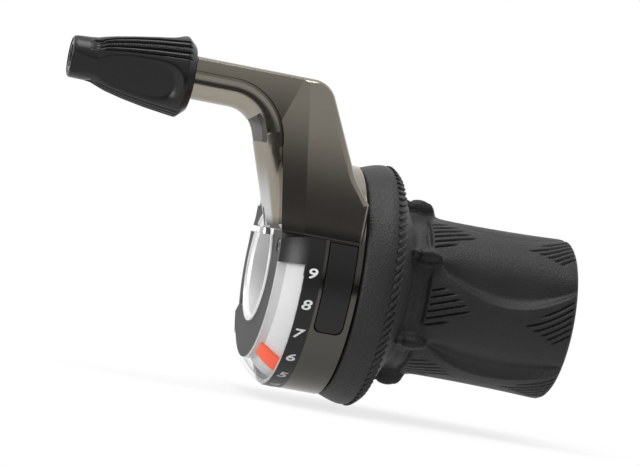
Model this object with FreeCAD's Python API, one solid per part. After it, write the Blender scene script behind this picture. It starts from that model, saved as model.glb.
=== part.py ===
import FreeCAD, Part
import math
import os

# Right-hand twist grip shifter for a bicycle, nine positions, at rest in position five.
# Frame: X runs outboard along the handlebar, Z up the cable tower, Y to the rear.
# The origin is on the handlebar axis where the wall of the clamp bore starts. Lengths are in millimetres.
# Dial angles are in degrees round the bar: 0 faces the front (-Y) and positive angles go up.

# Handlebar and clamp
BAR_DIAMETER = 22.2
CLAMP_CLEARANCE = 0.05
BORE_CHAMFER = 0.6
COLLAR_LENGTH = 8.2
COLLAR_R = 18.0
COLLAR_STEP_X = 6.8
COLLAR_LOW = 82.0
COLLAR_HIGH = 212.0
SLIT_Z = 7.3
SLIT_HEIGHT = 1.4
EAR_X = 3.4
EAR_HALF_WIDTH = 3.3
LOWER_EAR_THICKNESS = 6.4
UPPER_EAR_THICKNESS = 4.6
LOWER_EAR_REACH = 24.3
UPPER_EAR_REACH = 21.6
BOLT_Y = 17.6
BOLT_R = 2.0
BOLT_HOLE_CLEARANCE = 0.12
BOLT_HEAD_R = 3.1
BOLT_HEAD_HEIGHT = 3.4
BOLT_SOCKET_R = 1.7
BOLT_SOCKET_DEPTH = 2.0

# Ring of the housing
RING_R = 26.0
RING_LENGTH = 17.0
FACE_R = 21.5
SHOULDER_LENGTH = 5.0
SHOULDER_BULGE = 0.35
CAVITY_R = 22.8
CAVITY_START = 9.8

# Window, number band and pointer, stacked under the shoulder
WINDOW_LOW = -132.0
WINDOW_HIGH = 5.5
BAND_HIGH = 19.0
WINDOW_RIM_R = 20.6
BAND_X = 4.7
BAND_END_X = 8.5
LENS_WALL = 0.7
POINTER_GAP = 0.25
POINTER_WALL = 0.4
BACKING_WALL = 0.7
POINTER_ANGLE = -58.0
POINTER_WIDTH = 12.0
POINTER_LEG_X = 8.6
POINTER_LEG_WALL = 0.7
POINTER_FOOT_R = 18.2
POINTER_FOOT_HEIGHT = 1.2

# Cable hatch
HATCH_X = 9.2
HATCH_LENGTH = 6.6
HATCH_BOTTOM_Z = -11.6
HATCH_TOP_Z = 8.4
HATCH_CORNER_R = 1.6
HATCH_GAP = 0.25
HATCH_WALL = 1.8
HATCH_SEAT_GAP = 0.3
HATCH_LEDGE = 1.0

# Positions of the shift
POSITIONS = 9
CLICK_ANGLE = 15.3

# Cable tower and arm
ARM_Y = -17.0
ARM_Z = 37.4
ARM_R = 4.4
ARM_END_X = -25.9
ARM_BEND_X = -17.0
ARM_BEND_R = 10.9
ARM_BEND_ANGLE = 75.0
ARM_FOOT_Z = 10.0
ARM_FOOT_R = 3.0
TOWER_INNER_R = 12.6
ARM_BODY_SIDE = 4.5
SEAM_WIDTH = 0.6
SEAM_DEPTH = 0.7
SEAM_LAP = 0.12
POCKET_R = 9.2
POCKET_LOW = 2.0
POCKET_HIGH = 44.0
POCKET_FLOOR_Y = -15.2

# Outline of the tower in front view and in side view, with the step on its front
TOWER_TOP_Z = 42.3
TOWER_TOP_X = 3.9
TOWER_CORNER_ROUND = 5.5
TOWER_KNEE_X = 12.7
TOWER_KNEE_Z = 22.8
TOWER_KNEE_ROUND = 9.0
TOWER_FLARE_Z = 17.4
TOWER_BASE_X = 16.8
TOWER_BASE_Z = 8.7
TOWER_BASE_INNER_X = -1.6
TOWER_CORNER = 0.3
TOWER_TOP_FRONT = -21.7
TOWER_BASE_FRONT = -24.8
TOWER_TOP_REAR = -12.5
TOWER_BASE_REAR = -10.0
TOWER_FRONT_ROUND = 1.6
TOWER_REAR_ROUND = 2.0
CREASE_TOP_X = -1.0
CREASE_BASE_X = 3.4
CREASE_SLOPE = 11.0

# Cable path and guide
CABLE_X = 12.8
CABLE_BEND_R = 27.0
GUIDE_R = 1.5
GUIDE_BORE_R = 1.0
GUIDE_CLEARANCE = 0.05
GUIDE_END_X = -18.6

# Barrel adjuster
SPIGOT_R = 3.7
SPIGOT_LENGTH = 4.3
RUNNING_CLEARANCE = 0.08
KNOB_GAP = 0.3
KNOB_LENGTH = 26.6
KNOB_LARGE_R = 8.9
KNOB_SMALL_R = 4.6
KNOB_NECK_LENGTH = 3.4
KNOB_EDGE = 1.3
KNOB_PANELS = 3
KNOB_PANEL_ANGLE = -18.0
KNOB_PANEL_DEPTH = 0.75
KNOB_PANEL_END = 3.4
KNOB_PANEL_HALF_WIDTH = 5.6
KNOB_FLUTE_WIDTH = 0.9
KNOB_FLUTE_DEPTH = 0.5
KNOB_FLUTE_ANGLE = 9.0
BARREL_R = 2.7
BARREL_HEAD_R = 3.6
BARREL_HEAD_LENGTH = 10.0
BARREL_INSET = 0.2
BARREL_CABLE_R = 1.1
BARREL_CLEARANCE = 0.12
BARREL_END_X = -20.0
BARREL_BORE_END_X = -19.4
SOCKET_R = 2.55
SOCKET_DEPTH = 9.0
SPRING_LENGTH = 5.6
SPRING_WIRE = 0.45
SPRING_TURNS = 4

# Mandrel that the grip turns on
MANDREL_BORE_R = 11.4
MANDREL_R = 12.7
MANDREL_END_X = 68.2
MANDREL_FLANGE_R = 16.6
MANDREL_FLANGE_WALL = 1.2
MANDREL_SCREWS = 3
MANDREL_SCREW_ANGLE = 90.0
SCREW_R = 0.9
SCREW_CLEARANCE = 0.05
SCREW_LENGTH = 4.0
SCREW_HEAD_R = 1.5
SCREW_HEAD_HEIGHT = 1.0
FACE_SCREW_HIGH_ANGLE = 17.0
FACE_SCREW_HIGH_R = 18.9
FACE_SCREW_LOW_ANGLE = -144.0
FACE_SCREW_LOW_R = 14.6
FACE_SCREW_SINK = 1.2
FACE_SCREW_LENGTH = 2.8
FACE_SCREW_HEX = 0.75
FACE_SCREW_HEX_DEPTH = 0.6
WASHER_GAP = 0.2
WASHER_WALL = 0.7
WASHER_R = 14.0
CLIP_WALL = 0.6
CLIP_R = 13.7
CLIP_DEPTH = 0.5
CLIP_OPENING = 50.0

# Spool and detent
GRIP_CLEARANCE = 0.15
SPOOL_X = 10.9
SPOOL_END_X = 16.4
SPOOL_RIM_R = 20.4
SPOOL_GROOVE_WIDTH = 2.2
CABLE_R = 0.6
NIPPLE_ANGLE = -75.0
NIPPLE_R = 2.3
NOTCH_R = 0.9
NOTCH_START_X = 14.4
DETENT_ANGLE = -140.0
DETENT_LEAF_WALL = 0.3
DETENT_LEAF_R = 21.3
DETENT_LEAF_SPAN = 44.0
DETENT_FOOT_SPAN = 5.0
DETENT_NOSE_R = 0.75
DETENT_WIDTH = 1.6

# Grip core and rubber
CORE_R = 14.8
CORE_END_X = 66.0
CORE_DISC_X = 17.9
CORE_DISC_WALL = 2.0
CORE_DISC_R = 23.0
DOGS = 3
DOG_ANGLE = 30.0
DOG_LENGTH = 2.0
DOG_CLEARANCE = 0.05
FLANGE_X = 17.5
FLANGE_RIM_R = 25.4
FLANGE_R = 27.6
FLANGE_CREST_X = 22.6
FLANGE_EDGE_X = 25.4
FLANGE_EDGE_R = 26.4
NECK_X = 30.6
NECK_R = 16.9
GRIP_END_X = 68.9
GRIP_END_R = 18.4
GRIP_START_X = 34.6
GRIP_START_R = 17.6
GRIP_EDGE = 1.4
FLANGE_RISE_BULGE = 0.5
FLANGE_FALL_BULGE = 0.3
GRIP_LIP_R = 14.3
NODULES = 6
NODULE_ANGLE = 28.0
NODULE_X = 33.0
NODULE_CENTRE_R = 17.2
NODULE_HALF_LENGTH = 3.9
NODULE_HEIGHT = 4.0
NODULE_HALF_WIDTH = 1.9
SCOOP_X = 53.5
SCOOP_R = 74.0
SCOOP_FLOOR_R = 17.2

# Sizes that follow from the ones above
BORE_R = BAR_DIAMETER / 2 + CLAMP_CLEARANCE
FACE_X = -BORE_CHAMFER
POINTER_OUT = LENS_WALL + POINTER_GAP
POINTER_IN = POINTER_OUT + POINTER_WALL
BACKING_OUT = POINTER_IN + POINTER_GAP
SEAT_OUT = BACKING_OUT + BACKING_WALL
TRAVEL = (POSITIONS - 1) / 2 * CLICK_ANGLE
PIVOT_Z = ARM_Z - ARM_BEND_R
GRIP_BORE_R = MANDREL_R + GRIP_CLEARANCE
SPOOL_GROOVE_R = abs(ARM_Y) - CABLE_R
KNOB_X = ARM_END_X - KNOB_GAP
KNOB_END_X = KNOB_X - KNOB_LENGTH
SPIGOT_END_X = ARM_END_X - SPIGOT_LENGTH
CLIP_X = CORE_END_X + WASHER_GAP + WASHER_WALL

ORIGIN = FreeCAD.Vector(0, 0, 0)
ALONG_X = FreeCAD.Vector(1, 0, 0)
ALONG_Y = FreeCAD.Vector(0, 1, 0)
ALONG_Z = FreeCAD.Vector(0, 0, 1)
FAR = 60.0
SAME = 0.001


def vec(x, y, z):
    """Short form of a FreeCAD vector."""
    return FreeCAD.Vector(x, y, z)


def profile(steps):
    """Face in the front half plane; a step of two (x, r) pairs is an arc's middle and end."""
    points = [vec(step[-2], -step[-1], 0) for step in steps]
    edges = []
    for index in range(1, len(steps)):
        step = steps[index]
        if len(step) == 4:
            arc = Part.Arc(points[index - 1], vec(step[0], -step[1], 0), points[index])
            edges.append(arc.toShape())
        else:
            edges.append(Part.makeLine(points[index - 1], points[index]))
    edges.append(Part.makeLine(points[-1], points[0]))
    return Part.Face(Part.Wire(edges))


def turned(steps):
    """Solid turned about the bar axis."""
    return profile(steps).revolve(ORIGIN, ALONG_X, 360)


def sector(steps, low, high):
    """The part of a turned solid between two dial angles."""
    face = profile(steps)
    face.rotate(ORIGIN, ALONG_X, -high)
    return face.revolve(ORIGIN, ALONG_X, high - low)


def tube(x_start, x_end, r_in, r_out):
    """Plain sleeve on the bar axis."""
    return turned([(x_start, r_in), (x_start, r_out), (x_end, r_out), (x_end, r_in)])


def rod(x_start, x_end, radius):
    """Cylinder on the bar axis."""
    return Part.makeCylinder(radius, x_end - x_start, vec(x_start, 0, 0), ALONG_X)


def at_dial(shape, angle):
    """Copy of a shape made at the front, turned to a dial angle."""
    placed = shape.copy()
    placed.rotate(ORIGIN, ALONG_X, -angle)
    return placed


def on_arm(shape):
    """Shape made on the bar axis, moved to the adjuster's axis."""
    shape.translate(vec(0, ARM_Y, ARM_Z))
    return shape


def shoulder(shift):
    """Outer outline of the ring, moved inwards along both axes by a shift."""
    start_x = FACE_X + shift
    start_r = FACE_R - shift
    end_x = SHOULDER_LENGTH + shift
    end_r = RING_R - shift
    middle_x = (start_x + end_x) / 2 - SHOULDER_BULGE
    middle_r = (start_r + end_r) / 2 + SHOULDER_BULGE
    return [(start_x, BORE_R), (start_x, start_r), (middle_x, middle_r, end_x, end_r), (RING_LENGTH, end_r),
            (RING_LENGTH, BORE_R)]


def skin(outer_shift, inner_shift, rim_r, x_end, low, high):
    """Shell under the ring's outline between two shifts, from a rim radius to x_end."""
    layer = turned(shoulder(outer_shift)).cut(turned(shoulder(inner_shift)))
    reach = sector([(-FAR, rim_r), (-FAR, FAR), (x_end, FAR), (x_end, rim_r)], low, high)
    return layer.common(reach)


def rounded_wire(corners, radii):
    """Closed flat wire through the corners, each one rounded."""
    arcs = []
    count = len(corners)
    for index in range(count):
        corner = corners[index]
        before = (corners[index - 1] - corner).normalize()
        after = (corners[(index + 1) % count] - corner).normalize()
        half = before.getAngle(after) / 2
        reach = radii[index] / math.tan(half)
        inward = (before + after).normalize()
        middle = corner + inward * (radii[index] / math.sin(half) - radii[index])
        arcs.append((corner + before * reach, middle, corner + after * reach))
    edges = []
    for index in range(count):
        start, middle, end = arcs[index]
        edges.append(Part.Arc(start, middle, end).toShape())
        edges.append(Part.makeLine(end, arcs[(index + 1) % count][0]))
    return Part.Wire(edges)


def plate(x_start, x_end, z_bottom, z_top, corner_r, y_start, y_end):
    """Block along Y with rounded lower corners."""
    outline = [
        Part.makeLine(vec(x_start, y_start, z_top), vec(x_end, y_start, z_top)),
        Part.makeLine(vec(x_end, y_start, z_top), vec(x_end, y_start, z_bottom + corner_r)),
        Part.makeLine(vec(x_end - corner_r, y_start, z_bottom), vec(x_start + corner_r, y_start, z_bottom)),
        Part.makeLine(vec(x_start, y_start, z_bottom + corner_r), vec(x_start, y_start, z_top)),
    ]
    bow = corner_r * (1 - math.sqrt(0.5))
    right = Part.Arc(vec(x_end, y_start, z_bottom + corner_r), vec(x_end - bow, y_start, z_bottom + bow),
                     vec(x_end - corner_r, y_start, z_bottom))
    left = Part.Arc(vec(x_start + corner_r, y_start, z_bottom), vec(x_start + bow, y_start, z_bottom + bow),
                    vec(x_start, y_start, z_bottom + corner_r))
    wire = Part.Wire([outline[0], outline[1], right.toShape(), outline[2], left.toShape(), outline[3]])
    return Part.Face(wire).extrude(vec(0, y_end - y_start, 0))


def tower_front(z):
    """Where the tower's front face lies at a height."""
    drop = (TOWER_TOP_Z - z) / (TOWER_TOP_Z - TOWER_BASE_Z)
    return TOWER_TOP_FRONT + (TOWER_BASE_FRONT - TOWER_TOP_FRONT) * drop


def tower_rear(z):
    """Where the tower's rear face lies at a height."""
    drop = (TOWER_TOP_Z - z) / (TOWER_TOP_Z - TOWER_BASE_Z)
    return TOWER_TOP_REAR + (TOWER_BASE_REAR - TOWER_TOP_REAR) * drop


def tower_outline():
    """Front view of the tower: along the arm, round the bend and down to the ring."""
    run = TOWER_BASE_INNER_X - ARM_BEND_X
    fall = TOWER_BASE_Z - PIVOT_Z
    touch = math.atan2(fall, run) + math.acos(TOWER_INNER_R / math.hypot(run, fall))
    middle = (math.pi / 2 + touch) / 2
    reach = TOWER_INNER_R / math.cos(math.pi / 2 - middle)
    start_x = 2 * ARM_END_X
    knee = vec(TOWER_KNEE_X, 0, TOWER_KNEE_Z)
    flare = vec(TOWER_BASE_X, 0, TOWER_FLARE_Z) - knee
    past = knee + flare * ((TOWER_KNEE_Z - TOWER_BASE_Z) / (TOWER_KNEE_Z - TOWER_FLARE_Z))
    corners = [
        vec(start_x, 0, PIVOT_Z + TOWER_INNER_R),
        vec(start_x, 0, TOWER_TOP_Z),
        vec(TOWER_TOP_X, 0, TOWER_TOP_Z),
        knee,
        past,
        vec(TOWER_BASE_INNER_X, 0, TOWER_BASE_Z),
        vec(ARM_BEND_X + reach * math.cos(middle), 0, PIVOT_Z + reach * math.sin(middle)),
    ]
    radii = [TOWER_CORNER, TOWER_CORNER, TOWER_CORNER_ROUND, TOWER_KNEE_ROUND, TOWER_CORNER, TOWER_CORNER,
             TOWER_INNER_R]
    return Part.Face(rounded_wire(corners, radii))


def tower_side():
    """Side view of the tower, between its leaning front and rear faces."""
    high = TOWER_TOP_Z + FAR
    low = TOWER_BASE_Z - FAR
    points = [vec(ARM_END_X, tower_front(high), high), vec(ARM_END_X, tower_front(low), low),
              vec(ARM_END_X, tower_rear(low), low), vec(ARM_END_X, tower_rear(high), high)]
    face = Part.Face(Part.makePolygon(points + points[:1]))
    return face.extrude(vec(TOWER_BASE_X - ARM_END_X, 0, 0))


def front_step():
    """Room left of the crease, where the front slopes back to the arm's own front."""
    run = FAR * math.cos(math.radians(CREASE_SLOPE))
    rise = FAR * math.sin(math.radians(CREASE_SLOPE))
    top = vec(CREASE_TOP_X, TOWER_TOP_FRONT, TOWER_TOP_Z)
    down = vec(CREASE_BASE_X, TOWER_BASE_FRONT, TOWER_BASE_Z) - top
    start = top - down
    points = [start, start + vec(-run, rise, 0), start + vec(-run, -FAR, 0), start + vec(0, -FAR, 0)]
    wedge = Part.Face(Part.makePolygon(points + points[:1])).extrude(down * 3)
    arm_front = ARM_Y - ARM_BODY_SIDE
    return wedge.common(Part.makeBox(2 * FAR, 2 * FAR, 4 * FAR, vec(-FAR, arm_front - 2 * FAR, -2 * FAR)))


def outer_edges(block, face_y):
    """Edges of the tower along its top and outboard side that lie on a leaning face."""
    chosen = []
    for edge in block.Edges:
        spots = edge.discretize(3)
        on_face = all(abs(spot.y - face_y(spot.z)) < SAME for spot in spots)
        middle = spots[1]
        above = middle.z > TOWER_TOP_Z - SAME
        outboard = middle.x > CREASE_TOP_X and middle.z > TOWER_BASE_Z + SAME
        if on_face and (above or outboard):
            chosen.append(edge)
    return chosen


def tower_body():
    """Forged body of the tower, from the adjuster's end of the arm round to the ring."""
    outline = tower_outline()
    outline.translate(vec(0, -FAR, 0))
    block = outline.extrude(vec(0, FAR, 0)).common(tower_side())
    block = block.makeFillet(TOWER_FRONT_ROUND, outer_edges(block, tower_front))
    block = block.makeFillet(TOWER_REAR_ROUND, outer_edges(block, tower_rear))
    return block.cut(front_step())


def arm_tube():
    """Round arm: straight at the adjuster, bent down and tapering into the ring."""
    straight = on_arm(rod(ARM_END_X, ARM_BEND_X, ARM_R))
    spigot = on_arm(rod(SPIGOT_END_X, ARM_END_X, SPIGOT_R))
    section = Part.Face(Part.Wire(Part.makeCircle(ARM_R, vec(ARM_BEND_X, ARM_Y, ARM_Z), ALONG_X)))
    bend = section.revolve(vec(ARM_BEND_X, 0, PIVOT_Z), ALONG_Y, ARM_BEND_ANGLE)
    lean = math.radians(90 - ARM_BEND_ANGLE)
    start = vec(ARM_BEND_X + ARM_BEND_R * math.cos(lean), ARM_Y, PIVOT_Z + ARM_BEND_R * math.sin(lean))
    down = vec(math.sin(lean), 0, -math.cos(lean))
    leg = Part.makeCone(ARM_R, ARM_FOOT_R, (start.z - ARM_FOOT_Z) / math.cos(lean), start, down)
    return straight.multiFuse([spigot, bend, leg])


def about_pivot(r_in, r_out, y_start, y_end, low, high):
    """Curved bar about the arm's bend, between two angles above horizontal."""
    face = Part.Face(Part.makePolygon([
        vec(ARM_BEND_X, y_start, PIVOT_Z + r_in),
        vec(ARM_BEND_X, y_end, PIVOT_Z + r_in),
        vec(ARM_BEND_X, y_end, PIVOT_Z + r_out),
        vec(ARM_BEND_X, y_start, PIVOT_Z + r_out),
        vec(ARM_BEND_X, y_start, PIVOT_Z + r_in),
    ]))
    pivot = vec(ARM_BEND_X, 0, PIVOT_Z)
    face.rotate(pivot, ALONG_Y, 90 - high)
    return face.revolve(pivot, ALONG_Y, high - low)


def arm_seam():
    """Groove where the body of the tower overhangs the arm."""
    r_in = TOWER_INNER_R - SEAM_WIDTH
    y_end = ARM_Y - ARM_R + SEAM_DEPTH
    r_out = TOWER_INNER_R + SEAM_LAP
    bent = about_pivot(r_in, r_out, -FAR, y_end, 0, 90)
    straight = Part.makeBox(ARM_BEND_X - ARM_END_X, FAR + y_end, r_out - r_in,
                            vec(ARM_END_X, -FAR, PIVOT_Z + r_in))
    return bent.fuse(straight)


def cable_path(radius):
    """Round bar along the cable from the spool up the tower and out along the arm."""
    centre = vec(CABLE_X - CABLE_BEND_R, ARM_Y, ARM_Z - CABLE_BEND_R)
    section = Part.Face(Part.Wire(Part.makeCircle(radius, vec(centre.x, ARM_Y, ARM_Z), ALONG_X)))
    bend = section.revolve(centre, ALONG_Y, 90)
    run = on_arm(rod(GUIDE_END_X, centre.x, radius))
    return bend.fuse(run).removeSplitter()


def ear(z_bottom, thickness, reach):
    """Clamp ear at the rear of the collar with a round end."""
    end_y = reach - EAR_HALF_WIDTH
    block = Part.makeBox(2 * EAR_HALF_WIDTH, end_y - SLIT_Z, thickness,
                         vec(EAR_X - EAR_HALF_WIDTH, SLIT_Z, z_bottom))
    return block.fuse(Part.makeCylinder(EAR_HALF_WIDTH, thickness, vec(EAR_X, end_y, z_bottom)))


def hatch_plate(inset, y_start, y_end):
    """Outline of the hatch opening, made smaller all round by an inset."""
    return plate(HATCH_X + inset, HATCH_X + HATCH_LENGTH - inset, HATCH_BOTTOM_Z + inset,
                 HATCH_TOP_Z - inset, HATCH_CORNER_R, y_start, y_end)


def window_recess():
    """Room in the ring for the window's layers and for the pointer's leg."""
    seat = sector([(-FAR, WINDOW_RIM_R), (-FAR, FAR), (BAND_END_X, FAR), (BAND_END_X, WINDOW_RIM_R)],
                  WINDOW_LOW, BAND_HIGH)
    slot = sector([(COLLAR_LENGTH, BORE_R), (COLLAR_LENGTH, RING_R - LENS_WALL),
                   (CAVITY_START, RING_R - LENS_WALL), (CAVITY_START, BORE_R)], WINDOW_LOW, BAND_HIGH)
    return [seat.cut(turned(shoulder(SEAT_OUT))), slot]


def housing():
    """Forged housing: clamp collar, ring, tower and arm in one piece."""
    bore = rod(-FAR, FAR, BORE_R)
    cavity = rod(COLLAR_LENGTH, FAR, CAVITY_R)
    rear_step = sector([(-FAR, COLLAR_R), (-FAR, FAR), (COLLAR_STEP_X, FAR), (COLLAR_STEP_X, COLLAR_R)],
                       COLLAR_LOW, COLLAR_HIGH)
    ring = turned(shoulder(0)).cut([rear_step, cavity] + window_recess())
    ears = [ear(SLIT_Z - LOWER_EAR_THICKNESS, LOWER_EAR_THICKNESS, LOWER_EAR_REACH),
            ear(SLIT_Z + SLIT_HEIGHT, UPPER_EAR_THICKNESS, UPPER_EAR_REACH)]
    pocket = about_pivot(0, POCKET_R, -FAR, POCKET_FLOOR_Y, POCKET_LOW, POCKET_HIGH)
    limb = tower_body().fuse(arm_tube().cut(pocket)).cut([bore, cavity])
    body = ring.fuse(limb).multiFuse([part.cut(bore) for part in ears])
    chamfer = Part.makeCone(BORE_R + 2 * BORE_CHAMFER, BORE_R, 2 * BORE_CHAMFER,
                            vec(FACE_X - BORE_CHAMFER, 0, 0), ALONG_X)
    cuts = [
        chamfer,
        hatch_plate(0, -FAR, 0).cut(rod(0, FAR, RING_R - HATCH_WALL)),
        hatch_plate(HATCH_LEDGE, -FAR, 0),
        cable_path(GUIDE_R + GUIDE_CLEARANCE),
        on_arm(rod(-FAR, BARREL_BORE_END_X, BARREL_R + RUNNING_CLEARANCE)),
        arm_seam(),
        Part.makeBox(FAR + COLLAR_LENGTH, FAR, SLIT_HEIGHT, vec(-FAR, 0, SLIT_Z)),
        Part.makeCylinder(BOLT_R + BOLT_HOLE_CLEARANCE, FAR,
                          vec(EAR_X, BOLT_Y, SLIT_Z - LOWER_EAR_THICKNESS)),
    ]
    return body.cut(cuts + screw_holes() + face_screw_holes())


def lens():
    """Clear window over the pointer."""
    return skin(0, LENS_WALL, WINDOW_RIM_R, BAND_X, WINDOW_LOW, WINDOW_HIGH)


def number_band():
    """Dark band that carries the numbers, with the cap above the window."""
    return skin(0, LENS_WALL, WINDOW_RIM_R, BAND_END_X, WINDOW_LOW, BAND_HIGH).cut(lens())


def window_backing():
    """White strip behind the pointer."""
    return skin(BACKING_OUT, SEAT_OUT, WINDOW_RIM_R, COLLAR_LENGTH, WINDOW_LOW, BAND_HIGH)


def indicator_pointer():
    """Coloured pointer under the window, with a leg down to the spool."""
    low = POINTER_ANGLE - POINTER_WIDTH / 2
    high = POINTER_ANGLE + POINTER_WIDTH / 2
    leg_end = POINTER_LEG_X + POINTER_LEG_WALL
    blade = skin(POINTER_OUT, POINTER_IN, WINDOW_RIM_R + POINTER_GAP, leg_end, low, high)
    top = RING_R - POINTER_OUT
    foot_top = POINTER_FOOT_R + POINTER_FOOT_HEIGHT
    leg = sector([(POINTER_LEG_X, POINTER_FOOT_R), (POINTER_LEG_X, top), (leg_end, top), (leg_end, foot_top),
                  (SPOOL_X, foot_top), (SPOOL_X, POINTER_FOOT_R)], low, high)
    return blade.fuse(leg).removeSplitter()


def cable_hatch():
    """Lift-off cover over the cable end."""
    shell = tube(0, FAR, RING_R - HATCH_WALL + HATCH_SEAT_GAP, RING_R)
    return hatch_plate(HATCH_GAP, -FAR, 0).common(shell)


def screw_spots():
    """Dial angles of the mandrel's screws."""
    return [MANDREL_SCREW_ANGLE + 360 / MANDREL_SCREWS * index for index in range(MANDREL_SCREWS)]


def screw_bar(angle, x_start, x_end, radius):
    """Cylinder along X at one screw of the mandrel's flange."""
    circle_r = (MANDREL_R + MANDREL_FLANGE_R) / 2
    bar = Part.makeCylinder(radius, x_end - x_start, vec(x_start, -circle_r, 0), ALONG_X)
    return at_dial(bar, angle)


def mandrel_screw(angle):
    """One of the small screws that hold the mandrel to the housing."""
    face_x = COLLAR_LENGTH + MANDREL_FLANGE_WALL
    shank = screw_bar(angle, face_x - SCREW_LENGTH, face_x, SCREW_R)
    return shank.fuse(screw_bar(angle, face_x, face_x + SCREW_HEAD_HEIGHT, SCREW_HEAD_R))


def screw_holes():
    """Holes for the mandrel's screws."""
    face_x = COLLAR_LENGTH + MANDREL_FLANGE_WALL
    return [screw_bar(angle, face_x - SCREW_LENGTH - SCREW_CLEARANCE, face_x, SCREW_R + SCREW_CLEARANCE)
            for angle in screw_spots()]


def face_screw_holes():
    """Stepped holes for the two screws in the inboard face."""
    floor_x = FACE_X + FACE_SCREW_SINK
    head = rod(-FAR, floor_x, SCREW_HEAD_R + SCREW_CLEARANCE)
    shank = rod(-FAR, floor_x + FACE_SCREW_LENGTH + SCREW_CLEARANCE, SCREW_R + SCREW_CLEARANCE)
    hole = head.fuse(shank)
    return [at_face(hole, angle, radius) for angle, radius in face_screw_spots()]


def face_screw_spots():
    """Dial angle and distance from the bar's axis of each screw in the inboard face."""
    return [(FACE_SCREW_HIGH_ANGLE, FACE_SCREW_HIGH_R), (FACE_SCREW_LOW_ANGLE, FACE_SCREW_LOW_R)]


def at_face(shape, angle, radius):
    """A shape made round the bar's axis, moved to one screw of the inboard face."""
    moved = shape.copy()
    moved.translate(vec(0, -radius, 0))
    return at_dial(moved, angle)


def face_screw(angle, radius):
    """Small screw with a hexagonal socket, sunk in the inboard face."""
    floor_x = FACE_X + FACE_SCREW_SINK
    top_x = floor_x - SCREW_HEAD_HEIGHT
    turns = [math.radians(60 * corner) for corner in range(7)]
    hexagon = Part.makePolygon([vec(top_x, FACE_SCREW_HEX * math.cos(turn), FACE_SCREW_HEX * math.sin(turn))
                                for turn in turns])
    socket = Part.Face(Part.Wire(hexagon.Edges)).extrude(vec(FACE_SCREW_HEX_DEPTH, 0, 0))
    body = rod(top_x, floor_x, SCREW_HEAD_R).fuse(rod(floor_x, floor_x + FACE_SCREW_LENGTH, SCREW_R))
    return at_face(body.cut(socket), angle, radius)


def mandrel():
    """Fixed sleeve on the bar that the grip turns on."""
    face_x = COLLAR_LENGTH + MANDREL_FLANGE_WALL
    sleeve = turned([(COLLAR_LENGTH, MANDREL_BORE_R), (COLLAR_LENGTH, MANDREL_FLANGE_R),
                     (face_x, MANDREL_FLANGE_R), (face_x, MANDREL_R), (MANDREL_END_X, MANDREL_R),
                     (MANDREL_END_X, MANDREL_BORE_R)])
    groove = tube(CLIP_X, CLIP_X + CLIP_WALL, MANDREL_R - CLIP_DEPTH, MANDREL_R + CLIP_DEPTH)
    return sleeve.cut([groove] + screw_holes())


def thrust_washer():
    """Washer between the grip's end and the clip."""
    return tube(CLIP_X - WASHER_WALL, CLIP_X, MANDREL_R + SCREW_CLEARANCE, WASHER_R)


def retaining_clip():
    """Open ring in the mandrel's groove."""
    steps = [(CLIP_X, MANDREL_R - CLIP_DEPTH), (CLIP_X, CLIP_R), (CLIP_X + CLIP_WALL, CLIP_R),
             (CLIP_X + CLIP_WALL, MANDREL_R - CLIP_DEPTH)]
    return sector(steps, CLIP_OPENING / 2 - 180, 180 - CLIP_OPENING / 2)


def clamp_bolt():
    """Socket head bolt that closes the clamp."""
    seat_z = SLIT_Z + SLIT_HEIGHT + UPPER_EAR_THICKNESS
    foot_z = SLIT_Z - LOWER_EAR_THICKNESS
    shank = Part.makeCylinder(BOLT_R, seat_z - foot_z, vec(EAR_X, BOLT_Y, foot_z))
    head = Part.makeCylinder(BOLT_HEAD_R, BOLT_HEAD_HEIGHT, vec(EAR_X, BOLT_Y, seat_z))
    floor_z = seat_z + BOLT_HEAD_HEIGHT - BOLT_SOCKET_DEPTH
    corners = []
    for index in range(7):
        turn = math.radians(60 * index)
        corners.append(vec(EAR_X + BOLT_SOCKET_R * math.cos(turn), BOLT_Y + BOLT_SOCKET_R * math.sin(turn),
                           floor_z))
    socket = Part.Face(Part.makePolygon(corners)).extrude(vec(0, 0, BOLT_SOCKET_DEPTH))
    return shank.fuse(head).cut(socket)


def cable_guide():
    """Curved liner that leads the cable from the spool to the adjuster."""
    return cable_path(GUIDE_R).cut([cable_path(GUIDE_BORE_R), rod(0, FAR, CAVITY_R)])


def detent_spring():
    """Leaf spring whose nose clicks into the spool's notches."""
    x_end = NOTCH_START_X + DETENT_WIDTH
    outer_r = DETENT_LEAF_R + DETENT_LEAF_WALL
    low = DETENT_ANGLE - DETENT_LEAF_SPAN / 2
    high = DETENT_ANGLE + DETENT_LEAF_SPAN / 2
    leaf = sector([(NOTCH_START_X, DETENT_LEAF_R), (NOTCH_START_X, outer_r), (x_end, outer_r),
                   (x_end, DETENT_LEAF_R)], low, high)
    foot_steps = [(NOTCH_START_X, DETENT_LEAF_R), (NOTCH_START_X, CAVITY_R), (x_end, CAVITY_R),
                  (x_end, DETENT_LEAF_R)]
    nose_r = DETENT_LEAF_R + DETENT_LEAF_WALL / 2 - DETENT_NOSE_R
    nose = Part.makeCylinder(DETENT_NOSE_R, DETENT_WIDTH, vec(NOTCH_START_X, -nose_r, 0), ALONG_X)
    return leaf.multiFuse([sector(foot_steps, low, low + DETENT_FOOT_SPAN),
                           sector(foot_steps, high - DETENT_FOOT_SPAN, high), at_dial(nose, DETENT_ANGLE)])


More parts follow.
